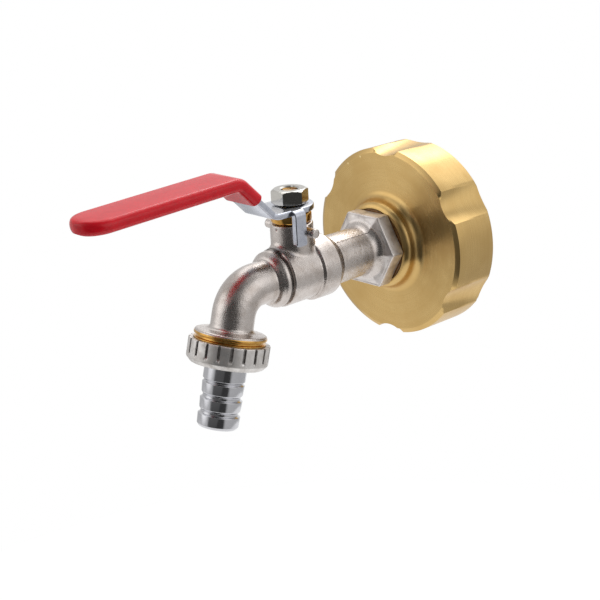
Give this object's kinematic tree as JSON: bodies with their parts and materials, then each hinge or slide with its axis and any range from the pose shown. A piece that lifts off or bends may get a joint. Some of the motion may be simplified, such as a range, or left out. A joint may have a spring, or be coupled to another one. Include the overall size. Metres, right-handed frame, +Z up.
{
  "type": "ibc tank valve",
  "caption": "Lever ball tap on a scalloped screw cap for a tank outlet, with a swan-neck spout, union nut and barbed hose tail.",
  "frame": {"origin": "centre of the cap's open rear face, where it meets the tank's outlet", "axes": "+Z up; +Y back into the tank along the outlet's axis, so the flow leaves along -Y; +X to the right as seen from in front of the spout"},
  "size_m": [0.0756, 0.1643, 0.0939],
  "materials": {
    "cap_brass": "turned bare brass with a faint radial sheen",
    "turned_brass": "turned bare brass",
    "cast_nickel": "nickel plate over a sand-cast brass skin",
    "bright_chrome": "bright plate on turned brass",
    "plated_steel": "polished plated steel",
    "red_vinyl": "dip-moulded red vinyl, soft sheen",
    "black_rubber": "matt moulded rubber",
    "white_seal_plastic": "white sealing plastic"
  },
  "bodies": {
    "valve_body": {"tank_cap": "cap_brass", "cap_gasket": "black_rubber", "inlet_end": "cast_nickel", "inlet_seal": "black_rubber", "body_joint_ring": "black_rubber", "body_casting": "cast_nickel", "ball_seat_inlet": "white_seal_plastic", "ball_seat_outlet": "white_seal_plastic", "stem_thrust_washer": "white_seal_plastic", "stem_packing": "white_seal_plastic", "gland_nut": "turned_brass", "tail_washer": "black_rubber"},
    "lever": {"lever_plate": "plated_steel", "lever_grip": "red_vinyl", "handle_nut": "plated_steel", "stem": "turned_brass", "stem_o_ring": "black_rubber"},
    "ball": {"ball": "bright_chrome"},
    "union_nut": {"union_nut": "cast_nickel"},
    "hose_tail": {"hose_tail": "bright_chrome"}
  },
  "joints": [
    {"name": "lever_turn", "type": "hinge", "parent": "valve_body", "child": "lever", "pos_m": [0, -0.07082, 0.0255], "axis": [0, 0, 1], "range_deg": [-90, 0]},
    {"name": "ball_turn", "type": "hinge", "parent": "valve_body", "child": "ball", "pos_m": [0, -0.07082, 0], "axis": [0, 0, 1], "range_deg": [-90, 0]},
    {"name": "union_nut_turn", "type": "hinge", "parent": "valve_body", "child": "union_nut", "pos_m": [0, -0.10403, -0.01785], "axis": [0, -0.2756, -0.9613], "continuous": true},
    {"name": "hose_tail_swivel", "type": "hinge", "parent": "valve_body", "child": "hose_tail", "pos_m": [0, -0.10403, -0.01785], "axis": [0, -0.2756, -0.9613], "continuous": true}
  ],
  "couplings": [
    {"joint": "ball_turn", "follows": "lever_turn", "ratio": 1}
  ]
}
